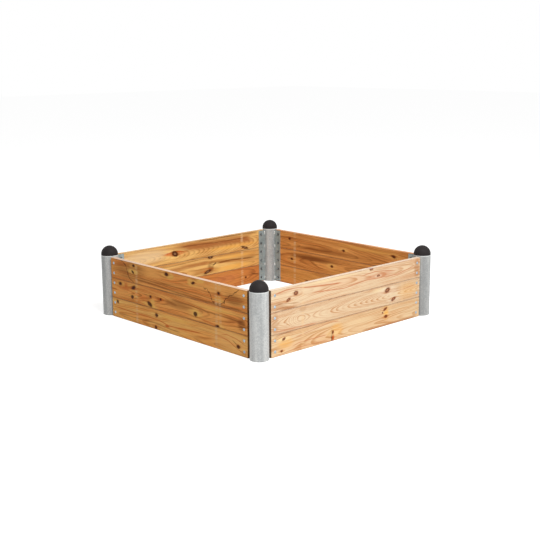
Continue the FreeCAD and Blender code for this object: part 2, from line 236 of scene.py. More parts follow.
def noise(place, size, seed=0.0, detail=2.0, output=ONE_VALUE):
    """Soft random values from about 0 to 1. Size is that of one lump along each axis of the place."""
    lumps_per_unit = tuple(1 / lump for lump in size)
    sized = vector_maths("MULTIPLY_ADD", place, lumps_per_unit, (seed, seed * 0.7, -seed))
    values = {"Vector": sized, "Scale": 1.0, "Detail": detail}
    return place.network.node("ShaderNodeTexNoise", inputs=values, output=output)


def blend(factor, one, other):
    """One colour where the factor is 0 and the other where it is 1."""
    colours = {"Factor": factor, 6: one, 7: other}
    return factor.network.node("ShaderNodeMix", {"data_type": "RGBA"}, colours, 2)


def bump(height, depth):
    """A normal that makes a height from 0 to 1 look so many metres deep."""
    values = {"Height": height, "Distance": depth, "Strength": 1.0}
    return height.network.node("ShaderNodeBump", inputs=values)


def colour(red, green, blue):
    """A colour given as display values from 0 to 255, as the linear colour that a shader works with."""
    display = [value / 255 for value in (red, green, blue)]
    linear = [v / 12.92 if v <= 0.04045 else ((v + 0.055) / 1.055) ** 2.4 for v in display]
    return (*linear, 1.0)


print("a display grey of 188 is this share of white light:", round(colour(188, 188, 188)[0], 3))

# %% [markdown]
# ## Where a point lies on its plank
#
# A joiner marks a plank with a rule, from its middle and from its lower edge. The patterns could be placed
# in the room instead, but then every side would need other numbers. So a Mapping node moves and turns each
# plank to one common place: along from its middle, deep from its outer face and up from its lower edge, in
# millimetres. All lengths up to the zinc finishes are such millimetres.

# %% The plank's own coordinates
SIDES = ("front", "right", "back", "left")
QUARTER_TURN = math.pi / 2
MILLIMETRES = 1000
lowest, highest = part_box("front_board_top")
HALF_WIDTH = (highest.z - lowest.z) / 2 * MILLIMETRES


def place_on_plank(finish, node, turns):
    """The point's place on its own plank: along, deep, up. Turns counts the quarter turns from the front."""
    low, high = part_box(node)
    middle = (low + high) / 2
    turned_middle = Matrix.Rotation(-turns * QUARTER_TURN, 3, "Z") @ middle
    half_thickness = min(high.x - low.x, high.y - low.y) / 2
    origin = Vector((turned_middle.x, turned_middle.y - half_thickness, low.z))
    moves = {
        "Vector": place_in_metres(finish),
        "Location": origin * -MILLIMETRES,
        "Rotation": (0, 0, -turns * QUARTER_TURN),
        "Scale": (MILLIMETRES, MILLIMETRES, MILLIMETRES),
    }
    return finish.node("ShaderNodeMapping", {"vector_type": "POINT"}, moves)


print("half a plank's width:", round(HALF_WIDTH, 2), "mm")

# %% [markdown]
# ## Knots
#
# A knot is a branch that the trunk grew past, so the grain flows round it as water flows round a pile.
# Knots could be dark spots on straight grain, but the eye misses the flow at once. So the place itself is
# pushed away from each knot before any ring or streak is worked out, and everything that follows bends by
# itself.

# %% Grain that flows round the knots
KNOT_REACH = 2.6
KNOT_PUSH = 1.2
KNOT_UNEVEN = 9
KNOT_LUMP = (8, 60, 8)
KNOT_OVAL = 1.35


def least(wires):
    smallest = wires[0]
    for wire in wires[1:]:
        smallest = smallest.maths("MINIMUM", wire)
    return smallest


def offset_from_knot(place, middle, along_squeeze):
    """From a knot's middle to the point, with lengths along the grain made shorter."""
    squeeze = Vector((1 / along_squeeze, 0, 1))
    return vector_maths("MULTIPLY_ADD", place, squeeze, -middle * squeeze)


def flow_round_knots(place, knots):
    """Returns the place shifted so that the grain flows round each knot, and two distances to the nearest
    knot as multiples of its radius: one by its own outline, and one that reaches further along the grain."""
    uneven = noise(place, KNOT_LUMP, detail=3, output=THREE_VALUES)
    wobbly = vector_maths("MULTIPLY_ADD", uneven, (KNOT_UNEVEN, 0, KNOT_UNEVEN), place)
    flow = place
    outlines, reaches = [], []
    for along, up, radius, stretch, lean in knots:
        middle = Vector((along + KNOT_UNEVEN / 2, 0, up + KNOT_UNEVEN / 2))
        long_offset = offset_from_knot(wobbly, middle, KNOT_REACH)
        gap = length(long_offset)
        push = KNOT_PUSH * radius**2 / (gap * gap + radius**2)
        flow = vector_maths("SUBTRACT", flow, scaled(long_offset, push))
        offset = offset_from_knot(wobbly, middle, stretch * KNOT_OVAL)
        if lean:
            offset = vector_maths("MULTIPLY_ADD", part(offset, UP), (-lean / stretch, 0, 0), offset)
        outlines.append(length(offset) / radius)
        reaches.append(gap / radius)
    return flow, least(outlines), least(reaches)


print("at its rim a knot shifts the grain by", round(KNOT_PUSH / 2, 2), "of its radius")

# %% [markdown]
# ## Growth rings
#
# A plank is a slice of a trunk, and its figure is where the slice cuts the growth rings. A stretched Wave
# or Noise texture could imitate the lines on one face. Here the finish is built like the tree: rings round
# a pith line below the face, which dives along the plank and wanders a little. One description then gives
# the nested arches on the faces, the fine lines on the edges and the arcs on the sawn ends.

# %% Rings round the pith
WANDER = 25
WANDER_LUMP = (420, 90, 90)
BANDS_A_YEAR = 0.42
BAND_LENGTH = 520
Tone = namedtuple("Tone", "spring summer heart halo flame rim middle")


def wandering(flow, seed, sway):
    """The place, shifted because the middle of a trunk is never straight."""
    reach = WANDER * sway
    wander = noise(flow, WANDER_LUMP, seed, detail=1.6, output=THREE_VALUES)
    flow = vector_maths("MULTIPLY_ADD", wander, (0, reach, reach), flow)
    return vector_maths("SUBTRACT", flow, (0, reach / 2, reach / 2))


def age_of_wood(finish, flow, along, pith, ring_width, eye):
    """How many years old the tree was when it grew the wood at this point."""
    pith_deep, pith_up, dive = pith
    deep = part(flow, DEEP) - pith_deep - along * dive
    if eye:
        eye_along, eye_half, eye_depth = eye
        deep = deep + ramp(abs(along - eye_along), eye_half, 0) * eye_depth
    return length(point(finish, 0, deep, part(flow, UP) - pith_up)) / ring_width


def ringed(finish, years, along, tone, ring_strength, band_strength, seed):
    """Returns the colour of the rings, and where dense summer wood is, from 0 to 1."""
    # A year starts with soft spring wood. Dense summer wood comes on slowly and stops at once in winter.
    season = years.maths("FRACT")
    summer = ramp(season, 0.35, 0.86) * ramp(season, 1.0, 0.93)
    band_place = point(finish, years * BANDS_A_YEAR, along / BAND_LENGTH, seed)
    band = noise(band_place, (1, 1, 1), seed + 5, detail=3)
    tint = blend(ramp(band, 0.38, 0.62) * band_strength, tone.spring, tone.heart)
    return blend(summer * ramp(band, 0.28, 0.58) * ring_strength, tint, tone.summer), summer


print("a warm band is about", round(1 / BANDS_A_YEAR, 1), "years wide")

# %% [markdown]
# ## Streaks and fibres
#
# Between its rings, oiled pine has long soft streaks of resin, pale flecks and fine fibres, all along the
# grain. They could be one noise with more detail, but each kind has its own size and colour on the real
# wood. So three noises are stretched to three shapes, and they follow the same flow as the rings.

# %% Soft patterns along the grain
STREAK_LUMP = (420, 13, 8)
FLECK_LUMP = (300, 12, 9)
FIBRE_LUMP = (110, 3.2, 2.6)
FLECK_STRENGTH = 0.7
FIBRE_STRENGTH = 0.4
Grain = namedtuple("Grain", "streak fleck fibre")


def grain_along(flow, seed):
    """Three patterns from coarse to fine, each from about 0 to 1."""
    streak = noise(flow, STREAK_LUMP, seed + 11, detail=3)
    fleck = noise(flow, FLECK_LUMP, seed + 23, detail=3)
    fibre = noise(flow, FIBRE_LUMP, seed + 17, detail=3)
    return Grain(streak, fleck, fibre)


def streaked(tint, grain, tone, streaky):
    tint = blend(ramp(grain.streak, 0.50, 0.76) * streaky, tint, tone.summer)
    tint = blend(ramp(grain.fleck, 0.48, 0.74) * FLECK_STRENGTH, tint, tone.spring)
    return blend(ramp(grain.fibre, 0.46, 0.78) * FIBRE_STRENGTH, tint, tone.summer)


print("a streak is about", STREAK_LUMP[ALONG], "mm long and", STREAK_LUMP[UP], "mm high")

# %% [markdown]
# ## Marks drawn one by one
#
# Some marks belong to one plank alone: a dark resin vein, a brown patch, or the pale stripe that a stacking
# strip left. They could be painted on a picture and projected. A few places on the plank say the same in a
# form that can be read and changed, so a ramp node holds the height of each line, and masks make it a soft
# streak or a thin vein.

# %% Lines and patches
DRAWN_LOW = -60
DRAWN_SPAN = 240


def height_of_line(along, places, shift=0.0):
    """How far up a line through the places lies, at each place along the plank."""
    start = places[0][0]
    span = places[-1][0] - start
    stops = [((far - start) / span, (up - DRAWN_LOW) / DRAWN_SPAN) for far, up in places]
    share = (along - (start + shift)) / span
    return along.network.node("ShaderNodeValToRGB", {"stops": stops}, {"Fac": share}) * DRAWN_SPAN + DRAWN_LOW


def streak_mask(along, up, places, half_width):
    """A soft streak that thins out at both its ends."""
    start, end = places[0][0], places[-1][0]
    fade = min(60, (end - start) / 3)
    mask = ramp(abs(up - height_of_line(along, places)), half_width, half_width * 0.15)
    return mask * ramp(along, start, start + fade) * ramp(along, end, end - fade)


def vein_mask(along, up, places, half_width):
    """A thin line of one width, however steeply it climbs: the height just before and just after bound it."""
    start, end = places[0][0], places[-1][0]
    before = height_of_line(along, places, -half_width)
    after = height_of_line(along, places, half_width)
    below = before.maths("MINIMUM", after) - up
    above = up - before.maths("MAXIMUM", after)
    inside = ramp(below.maths("MAXIMUM", above), half_width, 0)
    return inside * ramp(along, start - 1, start + 2) * ramp(along, end + 1, end - 2)


def patch_mask(finish, along, up, middle_along, middle_up, half_length, half_height):
    """A soft oval that fades out a little beyond its half length and half height."""
    offset = point(finish, (along - middle_along) / half_length, 0, (up - middle_up) / half_height)
    return ramp(length(offset), 1.15, 0.35)


print("a drawn line may lie from", DRAWN_LOW, "to", DRAWN_LOW + DRAWN_SPAN, "mm up the plank")

# %% Adding the marks to a plank
VEIN_LUMP = (16, 60, 16)
VEIN_RAGGED = 26
BAND_HALF = 13
BAND_FADE = 6
BAND_RAGGED = 14
BAND_STRENGTH = 0.5
PALE_BAND = colour(244, 206, 156)


def with_patches(finish, tint, along, up, grain, patches):
    for *oval, strength, stain in patches:
        mask = patch_mask(finish, along, up, *oval) * ramp(grain.streak + grain.fleck, 0.50, 0.95)
        tint = blend(mask * strength, tint, stain)
    return tint


def with_streaks(tint, along, up, grain, streaks):
    for places, half_width, strength, stain in streaks:
        mask = streak_mask(along, up, places, half_width) * ramp(grain.fibre, 0.12, 0.50)
        tint = blend(mask * strength, tint, stain)
    return tint


def with_veins(tint, place, grain, seed, veins):
    """Veins are drawn at a place that is shaken a little, so that their line is ragged."""
    if veins:
        ragged = noise(place, VEIN_LUMP, seed + 31, detail=3, output=THREE_VALUES)
        shaken = vector_maths("MULTIPLY_ADD", ragged, (VEIN_RAGGED, 0, VEIN_RAGGED), place)
        shaken = vector_maths("SUBTRACT", shaken, (VEIN_RAGGED / 2, 0, VEIN_RAGGED / 2))
    for places, half_width, strength, stain in veins:
        mask = vein_mask(part(shaken, ALONG), part(shaken, UP), places, half_width)
        tint = blend(mask * ramp(grain.fleck, 0.12, 0.42) * strength, tint, stain)
    return tint


def with_pale_bands(tint, along, grain, bands):
    for middle in bands:
        off_middle = abs(along - middle + (grain.streak - 0.5) * BAND_RAGGED)
        mask = ramp(off_middle, BAND_HALF, BAND_HALF - BAND_FADE) * ramp(grain.fleck, 0.36, 0.60)
        tint = blend(mask * BAND_STRENGTH, tint, PALE_BAND)
    return tint


print("a stacking strip's pale stripe is about", 2 * BAND_HALF - BAND_FADE, "mm wide")

# %% [markdown]
# ## The colours of a knot and of the edges
#
# Round a knot the wood is golden, with red flames along the grain, and the knot itself is a small dark
# trunk with rings of its own. A painted shade darkens the faces along their long edges, where the planks
# meet, the upward faces get a painted highlight, and sawn ends drink oil and turn dark. These could be more
# materials on more slots, but then they would meet in hard lines. So they are masks in the same finish: the
# distance to the nearest knot and the way the surface faces.

# %% Knots and edges
HALO_STRENGTH = 0.7
FLAME_STRENGTH = 0.6
SHADE_STRENGTH = 0.7
KNOT_STRENGTH = 0.92
KNOT_RINGS = 13
KNOT_RING_STRENGTH = 0.35
# Painted shade along the long edges of the planks, where they meet:
EDGE_STARTS = 4.5
EDGE_FULL = 1
JOINT_SHADE_STRENGTH = 0.55
END_STRENGTH = 0.82
KNOT_OUTER = 1.22
HALO_OUTER = 2.6
KNOT_DARK = colour(60, 24, 10)
# A painted highlight for the upward faces of the planks.
PAINTED_TOP_HIGHLIGHT = colour(228, 212, 196)
END_GRAIN = colour(70, 40, 24)


def with_knots(tint, nearest, nearest_along, grain, tone):
    halo = ramp(nearest_along, HALO_OUTER, 1.1) * ramp(grain.fleck, 0.40, 0.60)
    tint = blend(halo * HALO_STRENGTH, tint, tone.halo)
    flame = ramp(nearest_along, 2.2, 0.9) * ramp(grain.streak, 0.48, 0.64)
    tint = blend(flame * FLAME_STRENGTH, tint, tone.flame)
    shade = ramp(nearest, 1.9, 0.9) * ramp(grain.streak, 0.36, 0.60)
    tint = blend(shade * SHADE_STRENGTH, tint, tone.summer)
    knot = blend(ramp(nearest, 0.55, 0.25), tone.rim, tone.middle)
    rings = ramp((nearest * KNOT_RINGS).maths("SINE"), -0.4, 0.9)
    knot = blend(rings * KNOT_RING_STRENGTH, knot, KNOT_DARK)
    return blend(ramp(nearest, KNOT_OUTER, 0.70) * KNOT_STRENGTH, tint, knot)


def with_edges(finish, tint, up, turns, tone, top_highlight):
    faced = direction_faced(finish)
    upward = part(faced, UP)
    # A painted shade darkens the faces along their long edges, where the planks meet.
    joint_shade = ramp(abs(up - HALF_WIDTH), HALF_WIDTH - EDGE_STARTS, HALF_WIDTH - EDGE_FULL)
    tint = blend(joint_shade * ramp(abs(upward), 0.9, 0.5) * JOINT_SHADE_STRENGTH, tint, tone.rim)
    # Upward faces get a painted highlight.
    tint = blend(ramp(upward, 0.3, 0.9) * top_highlight, tint, PAINTED_TOP_HIGHLIGHT)
    endward = part(faced, turns % 2)
    return blend(ramp(abs(endward), 0.6, 0.9) * END_STRENGTH, tint, END_GRAIN)


print("a knot reaches", KNOT_OUTER, "times its radius and its golden halo", HALO_OUTER, "times")

# %% [markdown]
# ## The whole finish of a plank
#
# Now the steps go together in the order in which a plank gets its looks: it grows, it is stained and
# stacked, and it is sawn, and last its edges get a painted shade and a painted highlight. The planks could
# share one material, but each real plank differs from the next, so each gets its own from a short
# description. Summer wood stands a little proud of the soft spring wood, and a low bump shows it.

# %% Oiled pine
DRAWN_FOLLOWS = 0.4
GRAIN_DEPTH = 0.0006


def pine(node, turns, tone, pith, rings, seed, knots, streaks=(), veins=(), patches=(), bands=(),
         top_highlight=0.2, sway=1.0, streaky=0.6, eye=None):
    """The finish of one oiled pine plank.

    tone: the colours of its wood and knots.
    pith: how deep below the outer face and how far up the middle of the trunk lies, and how fast it dives.
    rings: width of one year's growth, and how strongly summer wood and then heart bands show, from 0 to 1.
    knots: (along, up, radius, stretch along the grain, lean).
    streaks and veins: (places as (along, up), half width, strength, colour).
    patches: (along, up, half length, half height, strength, colour).
    bands: where a stacking strip kept the face paler. The next argument is the strength of the painted
    highlight on the upper edge.
    sway: how much the trunk bends, from 0 to 1. streaky: how strong the long soft streaks are, from 0 to 1.
    eye: (along, half length, depth) of a dent that the saw cut across, where the rings close into an eye.
    """
    ring_width, ring_strength, band_strength = rings
    finish = Finish(f"pine_{node}")
    place = place_on_plank(finish, node, turns)
    along, up = part(place, ALONG), part(place, UP)
    flow, nearest, nearest_along = flow_round_knots(place, knots)
    flow = wandering(flow, seed, sway)
    years = age_of_wood(finish, flow, along, pith, ring_width, eye)
    tint, summer = ringed(finish, years, along, tone, ring_strength, band_strength, seed)
    grain = grain_along(flow, seed)
    tint = streaked(tint, grain, tone, streaky)

    # Drawn marks follow the flow round the knots only in part, or they would stray too far from their places.
    drawn_up = up + (part(flow, UP) - up) * DRAWN_FOLLOWS
    tint = with_patches(finish, tint, along, drawn_up, grain, patches)
    tint = with_streaks(tint, along, drawn_up, grain, streaks)
    tint = with_veins(tint, place, grain, seed, veins)
    tint = with_pale_bands(tint, along, grain, bands)
    tint = with_knots(tint, nearest, nearest_along, grain, tone)
    tint = with_edges(finish, tint, up, turns, tone, top_highlight)

    relief = summer * 0.5 + grain.fibre * 0.35 + ramp(nearest, 1.3, 0.9) * 0.4
    roughness = 0.50 + grain.fibre * 0.16 - ramp(nearest, 1.2, 0.9) * 0.12
    finish.set(Base_Color=tint, Roughness=roughness, Normal=bump(relief, GRAIN_DEPTH))
    finish.set(Specular_IOR_Level=0.06)
    return finish.material


print("the grain stands proud by", round(GRAIN_DEPTH * MILLIMETRES, 2), "mm at most")

# %% [markdown]
# ## The colours of oiled pine
#
# Fresh pine is cream. Oil and sun turn it honey, amber and russet, and on this bed every side has aged
# differently. The colours could be picked from a wheel by feel, but they are read off the picture as
# display values, each part of the wood by itself, and set a little lighter where the side stands in shade.
# The pale tones of the right side keep a painted sheen of the stronger light there.

# %% Stains
RESIN = colour(108, 62, 30)
UMBER = colour(130, 72, 30)
RUSTY = colour(206, 96, 38)
ROSE = colour(206, 124, 84)
GOLD = colour(250, 186, 92)
SUNNY = colour(255, 200, 104)
TAN = colour(180, 112, 60)
CREAM = colour(250, 222, 176)
PEACH = colour(255, 196, 118)
print("rusty brown in linear light:", [round(value, 2) for value in RUSTY[:3]])

# %% Tones of whole planks
# Each holds spring wood, summer wood and heart bands, then a knot's halo, flames, rim and middle.
AMBER = Tone(
    colour(255, 180, 98), colour(154, 84, 36), colour(244, 144, 70),
    colour(255, 202, 108), colour(204, 104, 44), colour(66, 24, 8), colour(56, 22, 8),
)
GOLDEN = Tone(
    colour(255, 196, 112), colour(186, 104, 44), colour(255, 162, 76),
    colour(255, 214, 124), colour(216, 112, 44), colour(76, 30, 10), colour(60, 24, 8),
)
# The next two tones, for the right side, are partly the wood's own colour and partly a painted sheen of the
# stronger light there.
FAWN_AND_SHEEN = Tone(
    colour(243, 216, 178), colour(204, 142, 92), colour(238, 188, 146),
    colour(252, 232, 200), colour(212, 142, 92), colour(120, 50, 30), colour(190, 132, 92),
)
WHEAT_AND_SHEEN = Tone(
    colour(243, 212, 168), colour(204, 142, 84), colour(238, 184, 132),
    colour(255, 222, 162), colour(204, 120, 66), colour(130, 58, 30), colour(124, 62, 36),
)
HONEY = Tone(
    colour(248, 198, 120), colour(158, 92, 38), colour(214, 142, 72),
    colour(255, 212, 130), colour(214, 84, 24), colour(62, 22, 8), colour(150, 112, 80),
)
RUST = Tone(
    colour(248, 172, 94), colour(154, 88, 40), colour(216, 134, 66),
    colour(255, 196, 108), colour(190, 98, 46), colour(100, 46, 20), colour(78, 36, 16),
)
RUSSET = Tone(
    colour(220, 142, 74), colour(140, 78, 36), colour(202, 118, 60),
    colour(238, 166, 94), colour(166, 90, 44), colour(96, 46, 20), colour(68, 32, 14),
)
print("each tone holds", len(Tone._fields), "colours:", Tone._fields)

# %% [markdown]
# ## Twelve planks, one by one
#
# Every plank has its own knots, veins and patches, and a reader of the picture knows it by them. They could
# be scattered by chance, which is enough for a far background, but this bed is looked at from close by. So
# they are written down plank by plank, as a joiner would mark them with a rule: how far along from the
# middle and how far up from the lower edge. Along runs to the right, as each side is seen from outside the
# bed.

# %% Dress one side
def dress(node, material):
    """Gives a measured piece a finish."""
    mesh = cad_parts[node].data
    mesh.materials.clear()
    mesh.materials.append(material)


def dress_side(side, planks):
    """Gives each plank of a side the finish that its description says."""
    turns = SIDES.index(side)
    for level, description in planks.items():
        node = f"{side}_board_{level}"
        dress(node, pine(node, turns, **description))
    knots = sum(len(description["knots"]) for description in planks.values())
    print(f"{side} side:", len(planks), "planks with", knots, "knots")


print("sides in the order of their quarter turns:", SIDES)

# %% [markdown]
# ## The front side
#
# The front planks stand in shade. They are the darkest on their outer faces and the most knotty, and two
# dark veins of resin cross the top one in deep curves. The curves could be warped rings, but a wide bend of
# all the rings would carry the arches along with it. So the veins are drawn as lines over quiet grain.
# Round the larger knots the wood is bright and sunny.

# %% Front planks
front_planks = {
    "top": dict(
        tone=AMBER, pith=(50, 96, 0.02), rings=(5.5, 0.55, 0.75), seed=1.0, top_highlight=0.7,
        knots=((-376, 101, 8, 1.0, 0), (-384, 63, 10, 0.8, -0.5), (-67, 99, 10, 1.1, 0),
               (166, 88, 9, 1.2, 0.5), (377, 67, 8, 1.0, 0)),
        veins=((((-508, 118), (-453, 93), (-436, 55), (-425, 30), (-412, 15), (-376, 6)), 2.4, 0.9, RESIN),
               (((255, 80), (289, 70), (311, 46), (322, 23), (341, 11), (390, 10), (420, 23), (435, 48),
                 (461, 67), (509, 90), (538, 112)), 2.4, 0.9, RESIN)),
        streaks=((((-370, 24), (-162, 21), (32, 12), (330, 8), (580, 6)), 7, 0.6, RESIN),
                 (((-340, 38), (-100, 34), (80, 26), (260, 20)), 4, 0.5, RESIN),
                 (((-150, 44), (60, 40), (300, 32)), 4, 0.5, UMBER)),
        patches=((-420, 70, 190, 70, 0.5, UMBER), (-36, 92, 44, 20, 0.7, SUNNY),
                 (226, 106, 44, 14, 0.7, SUNNY), (376, 36, 50, 22, 0.5, SUNNY),
                 (140, 88, 30, 22, 0.6, SUNNY), (500, 50, 90, 34, 0.6, UMBER)),
        bands=(-350, 356, 384),
    ),
    "middle": dict(
        tone=AMBER, pith=(40, 56, 0.05), rings=(5.0, 0.65, 0.6), seed=2.0,
        knots=((-513, 94, 9, 1.2, 0), (-383, 90, 12, 1.0, 0.6), (-396, 33, 12, 0.9, 0), (-220, 65, 7, 1.0, 0),
               (-230, 20, 15, 1.0, -0.5), (-126, 65, 7, 0.8, 0), (181, 38, 13, 1.0, 0),
               (361, 4, 10, 1.0, 0.5)),
        streaks=((((150, 34), (260, 18), (420, 6)), 7, 0.7, RUSTY),
                 (((-60, 84), (250, 70), (590, 60)), 7, 0.6, UMBER)),
        patches=((-460, 84, 120, 26, 0.6, RUSTY), (-275, 40, 60, 16, 0.6, RUSTY),
                 (350, 92, 220, 14, 0.5, SUNNY), (556, 50, 40, 34, 0.8, UMBER), (30, 60, 140, 26, 0.5, UMBER),
                 (184, 42, 36, 30, 0.7, SUNNY), (386, 8, 34, 16, 0.8, SUNNY),
                 (-202, 30, 26, 30, 0.6, SUNNY)),
        bands=(-355, 358, 388),
    ),
    "bottom": dict(
        tone=GOLDEN, pith=(60, 30, -0.03), rings=(5.5, 0.55, 0.5), seed=3.0,
        knots=((-546, 98, 9, 1.0, 0), (-168, 85, 11, 1.0, 0), (-177, 13, 10, 0.8, 0), (527, 46, 10, 1.0, 0)),
        streaks=((((-590, 66), (-400, 60), (-145, 59), (-60, 44), (114, 51), (250, 58)), 5, 0.85, RUSTY),
                 (((471, 76), (520, 52), (560, 44)), 4, 0.8, UMBER),
                 (((-560, 30), (-200, 34), (60, 24)), 5, 0.5, UMBER),
                 (((368, 84), (440, 92), (510, 84), (596, 60)), 4, 0.9, RUSTY),
                 (((368, 74), (450, 62), (520, 36), (592, 16)), 4, 0.8, RUSTY)),
        patches=((-73, 38, 26, 8, 0.9, RUSTY), (400, 72, 70, 10, 0.9, RUSTY), (470, 50, 170, 80, 0.75, PEACH),
                 (0, 92, 160, 14, 0.6, SUNNY)),
        bands=(-355, 352),
    ),
}
dress_side("front", front_planks)

# %% [markdown]
# ## The right side
#
# The right planks are a pale fawn, partly the wood's own colour and partly a painted sheen of the stronger
# light on this side. The saw met their rings at a low angle, so they show as nested arches, and in the
# middle plank they close into an eye. The arches could be drawn, but they are what a dive of the pith gives
# by itself, and a dent in the depth makes the eye.

# %% Right planks
right_planks = {
    "top": dict(
        tone=FAWN_AND_SHEEN, pith=(44, 74, 0.035), rings=(5.0, 0.75, 0.5), seed=4.0, top_highlight=0.6,
        knots=((-423, 78, 12, 1.0, 0), (-477, 51, 10, 1.0, 0.6), (168, 114, 8, 1.4, 0), (229, 67, 6, 1.6, 0)),
        streaks=((((-598, 90), (-494, 104), (-410, 101), (-299, 90), (-51, 72)), 5, 0.9, ROSE),
                 (((-598, 34), (-520, 42), (-430, 30), (-380, 26)), 4, 0.8, TAN),
                 (((-598, 12), (-500, 20), (-440, 12)), 4, 0.8, TAN),
                 (((62, 83), (124, 90), (200, 96), (268, 90), (400, 72)), 4, 0.9, ROSE),
                 (((-320, 62), (-60, 40), (130, 58), (400, 50), (560, 78)), 4, 0.9, ROSE)),
        patches=((-556, 30, 80, 26, 0.4, TAN), (-476, 10, 70, 10, 0.7, TAN), (230, 70, 150, 16, 0.55, ROSE),
                 (-160, 106, 260, 12, 0.8, CREAM), (572, 60, 30, 70, 0.6, TAN)),
        bands=(-372,),
    ),
    "middle": dict(
        tone=FAWN_AND_SHEEN, pith=(46, 54, -0.058), rings=(2.8, 1.0, 0.25), seed=5.0, sway=0.3, streaky=0.4,
        eye=(-396, 100, 10),
        knots=((309, 89, 15, 1.0, 0.3), (364, 28, 11, 1.2, 0.6)),
        streaks=((((-598, 14), (-420, 12), (-250, 8)), 5, 0.7, ROSE),
                 (((240, 74), (440, 70), (590, 84)), 4, 0.6, ROSE)),
        patches=((500, 60, 110, 60, 0.35, GOLD), (-574, 60, 30, 70, 0.4, TAN),
                 (-372, 100, 30, 16, 0.35, TAN), (240, 100, 80, 14, 0.8, CREAM)),
        bands=(-372, 440),
    ),
    "bottom": dict(
        tone=WHEAT_AND_SHEEN, pith=(50, 30, -0.04), rings=(5.5, 0.8, 0.45), seed=6.0,
        knots=((293, 100, 10, 1.0, 0.7), (270, 83, 5, 1.0, 0), (299, 56, 9, 1.2, 0), (-141, 50, 11, 0.5, 0),
               (-511, 86, 9, 1.0, 0.5), (-527, 24, 6, 1.0, 0)),
        streaks=((((-598, 104), (-511, 114), (-418, 112)), 7, 0.7, TAN),
                 (((-460, 74), (-300, 92), (-160, 108), (-60, 96)), 4, 0.7, ROSE),
                 (((-470, 30), (-400, 44), (-300, 46), (-160, 44)), 3, 0.9, ROSE),
                 (((-600, 8), (-380, 20), (-150, 14)), 4, 0.6, ROSE),
                 (((80, 12), (300, 6), (598, 10)), 10, 0.7, TAN)),
        patches=((300, 78, 26, 44, 0.9, GOLD), (-110, 60, 60, 40, 0.5, GOLD), (-500, 60, 70, 30, 0.6, GOLD),
                 (60, 70, 180, 22, 0.6, CREAM), (-141, 24, 13, 30, 1.0, RUSTY),
                 (-150, 30, 8, 40, 0.8, RESIN)),
        bands=(-372,),
    ),
}
dress_side("right", right_planks)

# %% [markdown]
# ## The back side
#
# The camera sees the inner faces of the back planks across the empty bed. They are rust brown and lie in
# shade, and little of their figure shows from so far. They could do with one shared finish, but the bed is
# also seen from behind. So each has knots of its own, and as on a real plank they show on both its faces.

# %% Back planks
back_planks = {
    "top": dict(
        tone=RUST, pith=(-20, 40, 0.03), rings=(5.5, 0.55, 0.7), seed=7.0,
        knots=((463, 73, 8, 1.0, 0), (-27, 59, 8, 1.0, 0), (-439, 78, 9, 1.2, 0.5)),
        patches=((100, 30, 400, 16, 0.5, UMBER), (-200, 90, 300, 14, 0.5, GOLD)),
        bands=(415,),
    ),
    "middle": dict(
        tone=RUST, pith=(-24, 60, -0.04), rings=(5.5, 0.6, 0.7), seed=8.0,
        knots=((443, 57, 8, 1.0, 0), (74, 60, 9, 1.0, 0), (-250, 80, 9, 1.0, 0)),
        patches=((250, 84, 260, 22, 0.8, UMBER), (-100, 24, 260, 16, 0.4, GOLD)),
        bands=(415,),
    ),
    "bottom": dict(
        tone=RUST, pith=(-30, 30, 0.04), rings=(5.5, 0.6, 0.4), seed=9.0,
        knots=((300, 40, 9, 1.0, 0), (-120, 70, 8, 1.0, 0), (-420, 30, 8, 1.0, 0)),
        patches=((330, 70, 260, 50, 0.25, GOLD),),
        bands=(415,),
    ),
}
dress_side("back", back_planks)

# %% [markdown]
# ## The left side
#
# The sun reaches the inner faces of the left planks and turns them honey yellow. The top plank has the
# largest knot of the bed, with a wide brown stripe beside it, and its rings stand close. A stripe could be
# one more heart band, but it keeps its height all along the plank, so it is drawn as a line, as the veins
# of the front are.

# %% Left planks
left_planks = {
    "top": dict(
        tone=HONEY, pith=(-42, 50, 0.08), rings=(3.2, 0.55, 0.5), seed=10.0, sway=0.4, streaky=0.35,
        knots=((164, 58, 20, 0.85, 0.3), (-426, 18, 13, 1.2, 1.4)),
        streaks=((((-500, 74), (-278, 78), (-118, 80), (45, 84), (200, 72)), 38, 1.0, TAN),
                 (((-460, 82), (-200, 86), (60, 92), (150, 84)), 6, 0.7, UMBER),
                 (((100, 72), (166, 60), (262, 58)), 8, 0.95, RUSTY),
                 (((-560, 108), (-300, 112), (0, 110)), 6, 0.7, UMBER)),
        patches=((400, 66, 240, 50, 0.6, CREAM), (-330, 40, 240, 16, 0.8, GOLD)),
        bands=(-400,),
    ),
    "middle": dict(
        tone=HONEY, pith=(-30, 30, 0.04), rings=(4.5, 0.6, 0.6), seed=11.0, streaky=0.45,
        knots=((-125, 112, 10, 1.6, 0), (-100, 21, 14, 1.2, -1.2), (-158, 63, 8, 1.0, -1.0)),
        streaks=((((-540, 62), (-317, 69), (-187, 66), (-110, 78)), 9, 0.85, UMBER),
                 (((-130, 80), (60, 76), (260, 70)), 20, 0.7, TAN),
                 (((-60, 108), (200, 100), (420, 104)), 3, 0.7, UMBER)),
        patches=((-330, 92, 220, 14, 0.7, GOLD), (-330, 24, 200, 20, 0.8, GOLD),
                 (-128, 46, 30, 40, 0.7, UMBER)),
        bands=(-400,),
    ),
    "bottom": dict(
        tone=RUSSET, pith=(-30, 70, 0.04), rings=(5.5, 0.5, 0.4), seed=12.0,
        knots=((-432, 50, 7, 1.0, 0), (100, 40, 9, 1.0, 0)),
        streaks=((((-560, 52), (-509, 64), (-470, 74)), 5, 0.9, RESIN),),
        patches=((-250, 70, 140, 30, 0.3, ROSE),),
        bands=(-400,),
    ),
}
dress_side("left", left_planks)

